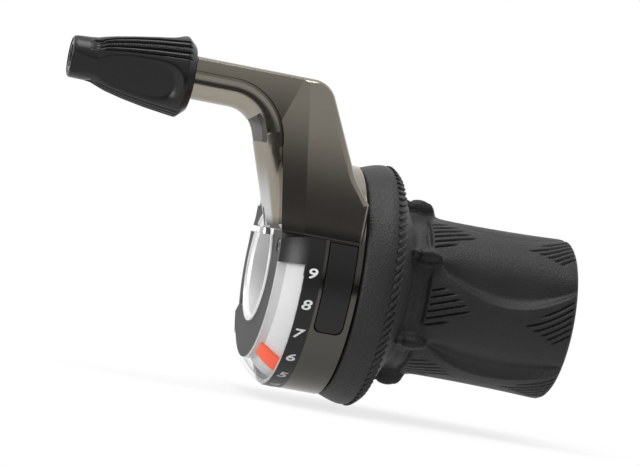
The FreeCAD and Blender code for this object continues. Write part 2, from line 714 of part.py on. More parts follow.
def cable_spool():
    """Spool with the cable groove, the cable end's seat and one notch for each position."""
    half = SPOOL_GROOVE_WIDTH / 2
    cable_r = SPOOL_GROOVE_R + CABLE_R
    body = turned([(SPOOL_X, GRIP_BORE_R), (SPOOL_X, SPOOL_RIM_R), (CABLE_X - half, SPOOL_RIM_R),
                   (CABLE_X - CABLE_R, cable_r), (CABLE_X, SPOOL_GROOVE_R, CABLE_X + CABLE_R, cable_r),
                   (CABLE_X + half, SPOOL_RIM_R), (SPOOL_END_X, SPOOL_RIM_R), (SPOOL_END_X, GRIP_BORE_R)])
    notch = Part.makeCylinder(NOTCH_R, SPOOL_END_X - NOTCH_START_X, vec(NOTCH_START_X, -SPOOL_RIM_R, 0),
                              ALONG_X)
    seat = Part.makeCylinder(NIPPLE_R, SPOOL_RIM_R, vec(CABLE_X, -SPOOL_GROOVE_R + NIPPLE_R / 2, 0),
                             vec(0, -1, 0))
    cuts = [at_dial(notch, DETENT_ANGLE - TRAVEL + CLICK_ANGLE * index) for index in range(POSITIONS)]
    cuts.append(at_dial(seat, NIPPLE_ANGLE))
    cuts.extend(dog(index, DOG_CLEARANCE) for index in range(DOGS))
    return body.cut(cuts)


def dog(index, clearance):
    """Tongue that drives the spool from the grip core, or its slot when given a clearance."""
    start_x = SPOOL_END_X - DOG_LENGTH - clearance
    outer_r = CORE_R + clearance
    middle = 360 / DOGS * index
    half = DOG_ANGLE / 2 + math.degrees(clearance / CORE_R)
    return sector([(start_x, GRIP_BORE_R), (start_x, outer_r), (SPOOL_END_X, outer_r),
                   (SPOOL_END_X, GRIP_BORE_R)], middle - half, middle + half)


def grip_core():
    """Stiff tube inside the grip, with a disc in the flange and tongues into the spool."""
    disc_end = CORE_DISC_X + CORE_DISC_WALL
    body = turned([(SPOOL_END_X, GRIP_BORE_R), (SPOOL_END_X, CORE_R), (CORE_DISC_X, CORE_R),
                   (CORE_DISC_X, CORE_DISC_R), (disc_end, CORE_DISC_R), (disc_end, CORE_R),
                   (CORE_END_X, CORE_R), (CORE_END_X, GRIP_BORE_R)])
    return body.multiFuse([dog(index, 0) for index in range(DOGS)]).removeSplitter()


def nodule(angle):
    """Rounded finger stop on the neck of the grip."""
    stretch = FreeCAD.Matrix()
    stretch.scale(NODULE_HALF_LENGTH, NODULE_HEIGHT, NODULE_HALF_WIDTH)
    bump = Part.makeSphere(1).transformGeometry(stretch)
    bump.translate(vec(NODULE_X, -NODULE_CENTRE_R, 0))
    return at_dial(bump, angle)


def scoop(angle):
    """Long shallow hollow for the palm."""
    height = 2 * GRIP_END_R
    roller = Part.makeCylinder(SCOOP_R, height, vec(SCOOP_X, -SCOOP_FLOOR_R - SCOOP_R, -height / 2), ALONG_Z)
    reach = Part.makeBox(FAR, FAR, height, vec(GRIP_START_X, -FAR, -height / 2))
    return at_dial(roller.common(reach), angle)


def grip_rubber():
    """Soft sleeve with the flange, the finger stops and the palm hollows."""
    disc_end = CORE_DISC_X + CORE_DISC_WALL
    rise_x = (FLANGE_X + FLANGE_CREST_X) / 2
    rise_r = (FLANGE_RIM_R + FLANGE_R) / 2 + FLANGE_RISE_BULGE
    fall_x = (FLANGE_CREST_X + FLANGE_EDGE_X) / 2
    fall_r = (FLANGE_R + FLANGE_EDGE_R) / 2 + FLANGE_FALL_BULGE
    bow = GRIP_EDGE * (1 - math.sqrt(0.5))
    sleeve = turned([
        (FLANGE_X, CORE_R), (FLANGE_X, FLANGE_RIM_R),
        (rise_x, rise_r, FLANGE_CREST_X, FLANGE_R), (fall_x, fall_r, FLANGE_EDGE_X, FLANGE_EDGE_R),
        (NECK_X, NECK_R), (GRIP_START_X, GRIP_START_R), (GRIP_END_X - GRIP_EDGE, GRIP_END_R),
        (GRIP_END_X - bow, GRIP_END_R - bow, GRIP_END_X, GRIP_END_R - GRIP_EDGE),
        (GRIP_END_X, GRIP_LIP_R), (CORE_END_X, GRIP_LIP_R), (CORE_END_X, CORE_R), (disc_end, CORE_R),
        (disc_end, CORE_DISC_R), (CORE_DISC_X, CORE_DISC_R), (CORE_DISC_X, CORE_R),
    ])
    angles = [NODULE_ANGLE + 360 / NODULES * index for index in range(NODULES)]
    core = rod(0, FAR + GRIP_END_X, CORE_R)
    bumps = [nodule(angle).cut(core) for angle in angles]
    return sleeve.cut([scoop(angle) for angle in angles]).multiFuse(bumps)


def knob_taper(depth):
    """Region outside the adjuster's taper, less a depth."""
    end = KNOB_END_X - KNOB_EDGE
    return turned([(KNOB_X, FAR), (KNOB_X, KNOB_LARGE_R - depth), (KNOB_X - KNOB_EDGE, KNOB_LARGE_R - depth),
                   (KNOB_END_X + KNOB_NECK_LENGTH, KNOB_SMALL_R), (end, KNOB_SMALL_R), (end, FAR)])


def knob_flute(width_start, width_end, x_end):
    """Front-facing bar with a round end, as wide as a panel or a flute."""
    x_start = KNOB_END_X + KNOB_NECK_LENGTH / 2
    corner_x = x_end - width_end / 2
    lower = vec(corner_x, 0, -width_end / 2)
    upper = vec(corner_x, 0, width_end / 2)
    lower_start = vec(x_start, 0, -width_start / 2)
    upper_start = vec(x_start, 0, width_start / 2)
    edges = [
        Part.makeLine(lower_start, lower),
        Part.Arc(lower, vec(x_end, 0, 0), upper).toShape(),
        Part.makeLine(upper, upper_start),
        Part.makeLine(upper_start, lower_start),
    ]
    return Part.Face(Part.Wire(edges)).extrude(vec(0, -FAR, 0))


def adjuster_knob():
    """Tapered knob with sunk panels and pairs of flutes between them."""
    head_r = BARREL_HEAD_R + BARREL_CLEARANCE
    head_end = KNOB_END_X + BARREL_INSET + BARREL_HEAD_LENGTH + KNOB_GAP
    spring_end = SPIGOT_END_X - SPRING_LENGTH
    stem_r = BARREL_R + BARREL_CLEARANCE
    spigot_r = SPIGOT_R + RUNNING_CLEARANCE
    body = turned([(KNOB_X, spigot_r), (KNOB_X, KNOB_LARGE_R - KNOB_EDGE), (KNOB_X - KNOB_EDGE, KNOB_LARGE_R),
                   (KNOB_END_X + KNOB_NECK_LENGTH, KNOB_SMALL_R), (KNOB_END_X, KNOB_SMALL_R),
                   (KNOB_END_X, head_r), (head_end, head_r), (head_end, stem_r), (spring_end, stem_r),
                   (spring_end, spigot_r)])
    panel_width = 2 * KNOB_PANEL_HALF_WIDTH
    taper = KNOB_SMALL_R / KNOB_LARGE_R
    panel_bar = knob_flute(panel_width * taper, panel_width, KNOB_X - KNOB_PANEL_END)
    panel = panel_bar.common(knob_taper(KNOB_PANEL_DEPTH))
    flute_bar = knob_flute(KNOB_FLUTE_WIDTH * taper, KNOB_FLUTE_WIDTH, KNOB_X + KNOB_EDGE)
    flute = flute_bar.common(knob_taper(KNOB_FLUTE_DEPTH))
    cuts = []
    for index in range(KNOB_PANELS):
        middle = KNOB_PANEL_ANGLE + 360 / KNOB_PANELS * index
        rib = middle + 180 / KNOB_PANELS
        cuts.append(at_dial(panel, middle))
        cuts.append(at_dial(flute, rib - KNOB_FLUTE_ANGLE))
        cuts.append(at_dial(flute, rib + KNOB_FLUTE_ANGLE))
    return on_arm(body.cut(cuts))


def adjuster_barrel():
    """Hollow threaded barrel with the socket for the cable housing."""
    start = KNOB_END_X + BARREL_INSET
    head_end = start + BARREL_HEAD_LENGTH
    socket_end = start + SOCKET_DEPTH
    return on_arm(turned([(start, SOCKET_R), (start, BARREL_HEAD_R), (head_end, BARREL_HEAD_R),
                          (head_end, BARREL_R), (BARREL_END_X, BARREL_R), (BARREL_END_X, BARREL_CABLE_R),
                          (socket_end, BARREL_CABLE_R), (socket_end, SOCKET_R)]))


def adjuster_spring():
    """Coil of square wire that presses the knob's detents, round the barrel's stem."""
    coil_r = (BARREL_R + SPIGOT_R) / 2
    half = SPRING_WIRE / 2
    rise = SPRING_LENGTH - SPRING_WIRE
    helix = Part.makeHelix(rise / SPRING_TURNS, rise, coil_r)
    section = Part.makePolygon([vec(coil_r - half, 0, -half), vec(coil_r + half, 0, -half),
                                vec(coil_r + half, 0, half), vec(coil_r - half, 0, half),
                                vec(coil_r - half, 0, -half)])
    coil = Part.Wire(helix).makePipeShell([section], True, True)
    coil.rotate(ORIGIN, ALONG_Y, -90)
    coil.translate(vec(SPIGOT_END_X - half, 0, 0))
    return on_arm(coil)


def export(name, shape):
    """Write one node as a STEP file, as a plain solid."""
    solids = shape.Solids
    whole = solids[0] if len(solids) == 1 else Part.makeCompound(solids)
    whole.exportStep("parts/" + name + ".step")


os.makedirs("parts", exist_ok=True)
export("housing", housing())
export("lens", lens())
export("number_band", number_band())
export("window_backing", window_backing())
export("mandrel", mandrel())
for number, spot in enumerate(screw_spots(), start=1):
    export("mandrel_screw_" + str(number), mandrel_screw(spot))
for number, (angle, radius) in enumerate(face_screw_spots(), start=1):
    export("face_screw_" + str(number), face_screw(angle, radius))
export("thrust_washer", thrust_washer())
export("retaining_clip", retaining_clip())
export("clamp_bolt", clamp_bolt())
export("cable_guide", cable_guide())
export("detent_spring", detent_spring())
export("cable_spool", cable_spool())
export("indicator_pointer", indicator_pointer())
export("grip_core", grip_core())
export("grip_rubber", grip_rubber())
export("cable_hatch", cable_hatch())
export("adjuster_knob", adjuster_knob())
export("adjuster_spring", adjuster_spring())
export("adjuster_barrel", adjuster_barrel())
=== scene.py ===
"""Looks of a bicycle twist grip shifter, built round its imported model.

Sizes in the classes are in millimetres, in the model's own frame: X runs outboard along the
handlebar, Z up the cable tower and -Y to the front. Dial angles are in degrees round the bar, 0 at
the front and positive upwards.
"""
from __future__ import annotations

import logging
import math
from dataclasses import dataclass
from enum import Enum

import bpy
import numpy as np
from mathutils import Matrix, Vector

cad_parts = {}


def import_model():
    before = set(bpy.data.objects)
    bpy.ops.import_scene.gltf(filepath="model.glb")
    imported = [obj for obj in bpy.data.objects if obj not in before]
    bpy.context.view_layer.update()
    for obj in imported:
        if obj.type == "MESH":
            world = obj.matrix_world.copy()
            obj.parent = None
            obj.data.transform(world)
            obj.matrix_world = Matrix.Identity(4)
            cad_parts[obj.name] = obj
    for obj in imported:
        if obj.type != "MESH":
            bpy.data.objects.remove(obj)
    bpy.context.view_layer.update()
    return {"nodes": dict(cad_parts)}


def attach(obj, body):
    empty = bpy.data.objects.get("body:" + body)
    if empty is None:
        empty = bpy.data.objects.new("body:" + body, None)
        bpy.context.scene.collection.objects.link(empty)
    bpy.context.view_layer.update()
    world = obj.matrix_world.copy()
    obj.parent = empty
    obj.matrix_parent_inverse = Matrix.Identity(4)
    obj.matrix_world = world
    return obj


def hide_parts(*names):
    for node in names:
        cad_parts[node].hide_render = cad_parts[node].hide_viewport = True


MM = 0.001
SHARP = 55.0
EDGE = 1e-4
FULL_TURN = 360.0
LOG = logging.getLogger("shifter")
Colour = tuple[float, float, float]
Point = tuple[float, float, float]
Span = tuple[float, float]
Profile = tuple[tuple[float, float], ...]
UNIT = (0.0, 1.0)
# Sockets of a Mix node that mixes colours
MIX_FACTOR, MIX_FIRST, MIX_SECOND, MIX_RESULT = 0, 6, 7, 2


class Body(Enum):
    """Bodies of the model that added pieces ride on."""

    HOUSING = "housing"
    GRIP = "grip"
    KNOB = "knob"


class Slot(Enum):
    """Material slots of the record, named beside the added pieces; nothing reads them."""

    ALLOY = "forged_alloy"
    WHITE = "white_plastic"
    RUBBER = "grip_rubber"
    KNOB = "knob_plastic"


class NodeTree:
    """Shader nodes of a material or a world, with short calls to add and join them."""

    def __init__(self, tree: bpy.types.NodeTree) -> None:
        """Hold a tree.

        Args:
            tree: The nodes of a material or a world.
        """
        self.tree = tree

    def add(self, kind: str) -> bpy.types.Node:
        """Add one node of a kind and return it."""
        return self.tree.nodes.new(kind)

    def join(self, source: bpy.types.NodeSocket, target: bpy.types.NodeSocket) -> None:
        """Link two sockets."""
        self.tree.links.new(source, target)

    def ramp(self, value: bpy.types.NodeSocket, span: Span, reach: Span) -> bpy.types.NodeSocket:
        """Step smoothly from one value to another.

        Args:
            value: What drives the step.
            span: Where the step starts and ends.
            reach: The values before and after it.

        Returns:
            The stepped value.
        """
        node = self.add("ShaderNodeMapRange")
        node.interpolation_type = "SMOOTHSTEP"
        for name, end in zip(("From Min", "From Max", "To Min", "To Max"), (*span, *reach)):
            node.inputs[name].default_value = end
        self.join(value, node.inputs["Value"])
        return node.outputs["Result"]

    def maths(self, operation: str, first: bpy.types.NodeSocket,
              second: bpy.types.NodeSocket | float) -> bpy.types.NodeSocket:
        """Work out one value from two.

        Args:
            operation: Name of the operation.
            first: The first value.
            second: The second value, joined or plain.

        Returns:
            The result.
        """
        node = self.add("ShaderNodeMath")
        node.operation = operation
        self.join(first, node.inputs[0])
        if isinstance(second, float):
            node.inputs[1].default_value = second
        else:
            self.join(second, node.inputs[1])
        return node.outputs["Value"]

    def axes(self, kind: str) -> bpy.types.bpy_prop_collection:
        """Split a kind of coordinates into X, Y and Z."""
        coords = self.add("ShaderNodeTexCoord")
        parts = self.add("ShaderNodeSeparateXYZ")
        self.join(coords.outputs[kind], parts.inputs["Vector"])
        return parts.outputs


class Graph(NodeTree):
    """Nodes of one material round its shader."""

    def __init__(self, name: str) -> None:
        """Start a material with its shader.

        Args:
            name: Name of the material.
        """
        self.material = bpy.data.materials.new(name)
        self.material.use_nodes = True
        super().__init__(self.material.node_tree)
        self.shader = self.tree.nodes["Principled BSDF"]

    def put(self, **values: float | Colour) -> None:
        """Set plain values on the shader's own sockets.

        Args:
            values: Socket names, with _ for a space, and their values.
        """
        for name, value in values.items():
            socket = self.shader.inputs[name.replace("_", " ")]
            if isinstance(value, tuple):
                socket.default_value = (*value, 1.0)
            else:
                socket.default_value = value

    def noise(self, scale: float, detail: float) -> bpy.types.NodeSocket:
        """Add noise on Object coordinates.

        Args:
            scale: Cells per metre.
            detail: Octaves.

        Returns:
            The noise's value.
        """
        coords = self.add("ShaderNodeTexCoord")
        texture = self.add("ShaderNodeTexNoise")
        texture.inputs["Scale"].default_value = scale
        texture.inputs["Detail"].default_value = detail
        self.join(coords.outputs["Object"], texture.inputs["Vector"])
        return texture.outputs["Fac"]

    def attribute(self, name: str) -> bpy.types.NodeSocket:
        """Read a value that a mesh carries on its points."""
        node = self.add("ShaderNodeAttribute")
        node.attribute_name = name
        return node.outputs["Fac"]

    def mixed(self, value: bpy.types.NodeSocket, first: Colour | bpy.types.NodeSocket,
              second: Colour) -> bpy.types.NodeSocket:
        """Mix two colours by a value.

        Args:
            value: Share of the second colour.
            first: The first colour, joined or plain.
            second: The second colour.

        Returns:
            The mixed colour.
        """
        node = self.add("ShaderNodeMix")
        node.data_type = "RGBA"
        if isinstance(first, tuple):
            node.inputs[MIX_FIRST].default_value = (*first, 1.0)
        else:
            self.join(first, node.inputs[MIX_FIRST])
        node.inputs[MIX_SECOND].default_value = (*second, 1.0)
        self.join(value, node.inputs[MIX_FACTOR])
        return node.outputs[MIX_RESULT]

    def bump(self, height: bpy.types.NodeSocket, strength: float, depth: float) -> None:
        """Raise the surface by a height, over what already shapes it.

        Args:
            height: Height from 0 to 1.
            strength: Share of the effect.
            depth: Depth in millimetres.
        """
        node = self.add("ShaderNodeBump")
        node.inputs["Strength"].default_value = strength
        node.inputs["Distance"].default_value = depth * MM
        self.join(height, node.inputs["Height"])
        normal = self.shader.inputs["Normal"]
        if normal.is_linked:
            self.join(normal.links[0].from_socket, node.inputs["Normal"])
        self.join(node.outputs["Normal"], normal)

    def crown(self, radius: float, middle: float, foot: float) -> None:
        """Curve flat faces slightly over their height, as a forging's faces are.

        Args:
            radius: Radius of the curve in millimetres.
            middle: Height at which a face keeps its own slope, in millimetres.
            foot: Height below which nothing is curved, in millimetres.
        """
        away = self.maths("SUBTRACT", self.maths("MAXIMUM", self.axes("Object")["Z"], foot * MM), middle * MM)
        square = self.maths("MULTIPLY", away, away)
        height = self.maths("MULTIPLY", square, -0.5 / (radius * MM))
        self.bump(height, 1.0, 1.0 / MM)


@dataclass(frozen=True)
class Finish:
    """A surface with two close colours, a roughness that varies, and a fine grain."""

    name: str
    dark: Colour
    light: Colour
    metallic: float = 0.0
    smooth: float = 0.4
    rough: float = 0.5
    coat: float = 0.0
    coat_rough: float = 0.12
    shine: float = 0.5
    edge: float = 1.0
    # Painted glow: light that the surface gives off itself, which only the orange moulding uses.
    glow: float = 0.0
    cloud_scale: float = 90.0
    cloud_detail: float = 3.0
    grain_scale: float = 2600.0
    grain_detail: float = 2.0
    grain: float = 0.1
    grain_depth: float = 0.05

    def colour(self, graph: Graph) -> bpy.types.NodeSocket:
        """Mix the two colours in clouds."""
        return graph.mixed(graph.noise(self.cloud_scale, self.cloud_detail), self.dark, self.light)

    def shape(self, graph: Graph) -> None:
        """Shape the surface under its grain. A plain finish leaves it as it is."""

    def material(self) -> bpy.types.Material:
        """Build the finish as a material."""
        graph = Graph(self.name)
        graph.put(Metallic=self.metallic, Coat_Weight=self.coat, Coat_Roughness=self.coat_rough,
                  Specular_IOR_Level=self.shine, Specular_Tint=grey(self.edge), Emission_Color=self.light,
                  Emission_Strength=self.glow)
        graph.join(self.colour(graph), graph.shader.inputs["Base Color"])
        self.shape(graph)
        fine = graph.noise(self.grain_scale, self.grain_detail)
        graph.join(graph.ramp(fine, UNIT, (self.smooth, self.rough)), graph.shader.inputs["Roughness"])
        graph.bump(fine, self.grain, self.grain_depth)
        return graph.material


@dataclass(frozen=True)
class ForgingFinish(Finish):
    """Polished forging with slightly crowned faces, with painted shade that darkens its ring and a painted
    reflection that makes the low, inboard-facing faces of its column paler.
    """

    # Painted shade: below the tower's foot the housing takes this darker colour, standing in for shade on its
    # ring.
    ring: Colour = (0.077, 0.074, 0.065)
    ring_z: Span = (12.0, 8.8)
    # Painted reflection: faces of the column that face inboard and sit low take this paler colour, standing
    # in for the pale floor reflected in them.
    inside: Colour = (0.56, 0.56, 0.56)
    inside_normal: Span = (-0.4, -0.62)
    inside_z: Span = (24.0, 13.0)
    crown_r: float = 150.0
    crown_z: float = 35.0
    crown_foot: float = 9.0

    def colour(self, graph: Graph) -> bpy.types.NodeSocket:
        """Mix the clouds with the ring's painted shade and the column's painted reflection."""
        height = graph.axes("Object")["Z"]
        low = graph.ramp(height, tuple(end * MM for end in self.inside_z), UNIT)
        side = graph.ramp(graph.axes("Normal")["X"], self.inside_normal, UNIT)
        # Painted reflection, mixed in on the column's low inboard-facing faces.
        tower = graph.mixed(graph.maths("MULTIPLY", low, side), super().colour(graph), self.inside)
        # Painted shade, mixed in below the tower's foot.
        return graph.mixed(graph.ramp(height, tuple(end * MM for end in self.ring_z), UNIT), tower, self.ring)

    def shape(self, graph: Graph) -> None:
        """Crown the tower's faces."""
        graph.crown(self.crown_r, self.crown_z, self.crown_foot)


@dataclass(frozen=True)
class WindowFinish:
    """Clear polycarbonate, with a painted reflection that turns it white where it is seen edge-on."""

    name: str = "clear polycarbonate"
    tint: Colour = (0.9, 0.91, 0.92)
    index: float = 1.5
    clear: float = 0.025
    coat: float = 0.2
    smooth: float = 0.04
    rough: float = 0.1
    cloud_scale: float = 700.0
    cloud_detail: float = 2.0

    def material(self) -> bpy.types.Material:
        """Build the window's material."""
        graph = Graph(self.name)
        graph.put(Base_Color=self.tint, Coat_Weight=self.coat, Coat_Roughness=self.smooth)
        # Painted reflection: towards glancing angles the front faces turn opaque and white.
        glance = graph.add("ShaderNodeFresnel")
        glance.inputs["IOR"].default_value = self.index
        outer = graph.ramp(graph.add("ShaderNodeNewGeometry").outputs["Backfacing"], UNIT, (1.0, 0.0))
        white = graph.maths("MULTIPLY", graph.ramp(glance.outputs["Fac"], UNIT, (self.clear, 1.0)), outer)
        graph.join(white, graph.shader.inputs["Alpha"])
        clouds = graph.noise(self.cloud_scale, self.cloud_detail)
        graph.join(graph.ramp(clouds, UNIT, (self.smooth, self.rough)), graph.shader.inputs["Roughness"])
        return graph.material


@dataclass(frozen=True)
class RubberFinish:
    """Moulded rubber, with finger stops of a darker and smoother one."""

    name: str = "moulded rubber"
    dark: Colour = (0.0085, 0.0092, 0.0086)
    light: Colour = (0.0185, 0.0195, 0.018)
    stop: Colour = (0.003, 0.0033, 0.003)
    sheen: float = 0.04
    sheen_rough: float = 0.5
    shine: float = 0.34
    smooth: float = 0.42
    rough: float = 0.58
    cloud_scale: float = 140.0
    cloud_detail: float = 5.0
    grain_scale: float = 2300.0
    grain_detail: float = 3.0
    grain: float = 0.85
    grain_depth: float = 0.2

    def material(self) -> bpy.types.Material:
        """Build the rubber's material."""
        graph = Graph(self.name)
        graph.put(Sheen_Weight=self.sheen, Sheen_Roughness=self.sheen_rough, Specular_IOR_Level=self.shine)
        body = graph.mixed(graph.noise(self.cloud_scale, self.cloud_detail), self.dark, self.light)
        graph.join(graph.mixed(graph.attribute("stop"), body, self.stop), graph.shader.inputs["Base Color"])
        fine = graph.noise(self.grain_scale, self.grain_detail)
        graph.join(graph.ramp(fine, UNIT, (self.smooth, self.rough)), graph.shader.inputs["Roughness"])
        graph.bump(fine, self.grain, self.grain_depth)
        return graph.material


def grey(value: float) -> Colour:
    """Neutral colour of a value."""
    return (value, value, value)


class Finishes:
    """Every material of the object, built once."""

    def __init__(self) -> None:
        """Build the materials."""
        self.alloy = ForgingFinish(
            "polished grey forging", (0.285, 0.26, 0.218), (0.315, 0.288, 0.243), metallic=1.0, smooth=0.14,
            rough=0.2, coat=0.1, grain=0.02).material()
        self.machined = Finish("machined face", grey(0.17), grey(0.21), metallic=1.0, smooth=0.28,
                               rough=0.38, edge=0.4, grain=0.04).material()
        self.pale = Finish("pale cast side", grey(0.42), grey(0.5), metallic=1.0, smooth=0.26, rough=0.36,
                           grain=0.04).material()
        self.cast = Finish("as-cast recess", grey(0.42), grey(0.48), metallic=0.1, smooth=0.5, rough=0.6,
                           grain=0.25).material()
        self.bright = Finish("bright cut edge", grey(0.86), grey(0.92), metallic=0.4, smooth=0.34,
                             rough=0.44, grain=0.02).material()
        self.bore = Finish("reamed bore", grey(0.86), grey(0.92), metallic=0.3, smooth=0.42, rough=0.55,
                           grain=0.04).material()
        self.steel = Finish("plated steel", grey(0.48), grey(0.58), metallic=1.0, smooth=0.24, rough=0.34,
                            grain=0.04).material()
        self.barrel = Finish("turned grey alloy", grey(0.2), grey(0.26), metallic=1.0, smooth=0.3,
                             rough=0.42, grain=0.05).material()
        self.black = Finish("satin black moulding", grey(0.007), grey(0.01), smooth=0.3, rough=0.42,
                            shine=0.32, grain=0.12).material()
        self.knob = Finish("satin knob moulding", (0.007, 0.0067, 0.007), (0.01, 0.0096, 0.01),
                           smooth=0.25, rough=0.36, shine=0.32).material()
        self.white = Finish("satin white moulding", grey(0.76), grey(0.81)).material()
        # Painted glow: the orange moulding gives off a little light of its own, which lifts it where it lies
        # in shade.
        self.orange = Finish("satin orange moulding", (0.98, 0.085, 0.018), (1.0, 0.105, 0.026),
                             glow=0.15).material()
        self.print = Finish("white print", grey(0.84), grey(0.9), smooth=0.45, rough=0.55,
                            grain=0.05).material()
        self.window = WindowFinish().material()
        self.rubber = RubberFinish().material()


def ring_mesh(name: str, rows: np.ndarray, whole: bool = True) -> bpy.types.Mesh:
    """Make a closed skin from rows of points that run round an axis.

    Args:
        name: Name of the mesh.
        rows: Points in millimetres, as rows x columns x 3. The last row joins the first one.
        whole: Whether the last column joins the first one too, or each end has a cap.

    Returns:
        The mesh, in metres.
    """
    count, columns = rows.shape[:2]
    index = np.arange(count * columns).reshape(count, columns)
    below = np.roll(index, -1, axis=0)
    quads = np.stack([index, np.roll(index, -1, axis=1), np.roll(below, -1, axis=1), below], axis=-1)
    faces = (quads if whole else quads[:, :-1]).reshape(-1, 4).tolist()
    if not whole:
        faces += [index[:, 0].tolist(), index[::-1, -1].tolist()]
    mesh = bpy.data.meshes.new(name)
    mesh.from_pydata((rows.reshape(-1, 3) * MM).tolist(), [], faces)
    mesh.update()
    volume = sum((p.center @ p.normal) * p.area for p in mesh.polygons)
    if volume < 0:
        mesh.flip_normals()
    mesh.shade_smooth()
    mesh.set_sharp_from_angle(angle=math.radians(SHARP))
    return mesh


def around(x: np.ndarray, radius: np.ndarray, angle: np.ndarray,
           centre: Point = (0.0, 0.0, 0.0)) -> np.ndarray:
    """Points round an axis along X.

    Args:
        x: Places along the axis.
        radius: Distances from it.
        angle: Dial angles in degrees.
        centre: A point of the axis.

    Returns:
        Points, with a last axis of 3.
    """
    turn = np.radians(angle)
    points = np.stack(np.broadcast_arrays(x, -radius * np.cos(turn), radius * np.sin(turn)), axis=-1)
    return points + np.array(centre)


def blip(value: np.ndarray, low: float, high: float) -> np.ndarray:
    """Smooth step from 0 at low to 1 at high."""
    share = np.clip((value - low) / (high - low), 0.0, 1.0)
    return share * share * (3.0 - 2.0 * share)


def shown(name: str, mesh: bpy.types.Mesh, material: bpy.types.Material) -> bpy.types.Object:
    """Put a mesh with its material in the scene."""
    piece = bpy.data.objects.new(name, mesh)
    mesh.materials.clear()
    mesh.materials.append(material)
    bpy.context.scene.collection.objects.link(piece)
    return piece


@dataclass
class RepeatTree:
    """Geometry Nodes tree that repeats one shape round an axis along X."""

    name: str
    copies: int
    radius: float
    x: float

    def build(self, shape: bpy.types.Object, material: bpy.types.Material) -> bpy.types.Object:
        """Repeat a shape and turn the result into a plain mesh.

        Args:
            shape: The shape, made at the axis with its outside towards +X of the tree.
            material: What it is made of.

        Returns:
            The finished piece.
        """
        tree = bpy.data.node_groups.new(self.name, "GeometryNodeTree")
        sockets = tree.interface
        sockets.new_socket("Geometry", in_out="OUTPUT", socket_type="NodeSocketGeometry")
        copies = sockets.new_socket("Copies", in_out="INPUT", socket_type="NodeSocketInt")
        radius = sockets.new_socket("Radius", in_out="INPUT", socket_type="NodeSocketFloat")
        place = sockets.new_socket("Place along the axis", in_out="INPUT", socket_type="NodeSocketFloat")
        nodes, links = tree.nodes, tree.links
        given = nodes.new("NodeGroupInput")
        result = nodes.new("NodeGroupOutput")
        circle = nodes.new("GeometryNodeMeshCircle")
        links.new(given.outputs["Copies"], circle.inputs["Vertices"])
        links.new(given.outputs["Radius"], circle.inputs["Radius"])
        source = nodes.new("GeometryNodeObjectInfo")
        source.inputs["Object"].default_value = shape
        where = nodes.new("GeometryNodeInputPosition")
        facing = nodes.new("FunctionNodeAlignEulerToVector")
        facing.axis = "X"
        facing.pivot_axis = "Z"
        links.new(where.outputs["Position"], facing.inputs["Vector"])
        placed = nodes.new("GeometryNodeInstanceOnPoints")
        links.new(circle.outputs["Mesh"], placed.inputs["Points"])
        links.new(source.outputs["Geometry"], placed.inputs["Instance"])
        links.new(facing.outputs["Rotation"], placed.inputs["Rotation"])
        real = nodes.new("GeometryNodeRealizeInstances")
        links.new(placed.outputs["Instances"], real.inputs["Geometry"])
        turned = nodes.new("GeometryNodeTransform")
        turned.inputs["Rotation"].default_value = (0.0, math.pi / 2, 0.0)
        links.new(real.outputs["Geometry"], turned.inputs["Geometry"])
        shift = nodes.new("ShaderNodeCombineXYZ")
        links.new(given.outputs["Place along the axis"], shift.inputs["X"])
        links.new(shift.outputs["Vector"], turned.inputs["Translation"])
        dressed = nodes.new("GeometryNodeSetMaterial")
        dressed.inputs["Material"].default_value = material
        links.new(turned.outputs["Geometry"], dressed.inputs["Geometry"])
        links.new(dressed.outputs["Geometry"], result.inputs["Geometry"])

        holder = shown(self.name, bpy.data.meshes.new(self.name), material)
        modifier = holder.modifiers.new("repeat", "NODES")
        modifier.node_group = tree
        modifier[copies.identifier] = self.copies
        modifier[radius.identifier] = self.radius * MM
        modifier[place.identifier] = self.x * MM
        depsgraph = bpy.context.evaluated_depsgraph_get()
        mesh = bpy.data.meshes.new_from_object(holder.evaluated_get(depsgraph))
        holder.modifiers.remove(modifier)
        holder.data = mesh
        mesh.materials.clear()
        mesh.materials.append(material)
        mesh.shade_smooth()
        bpy.data.objects.remove(shape)
        return holder


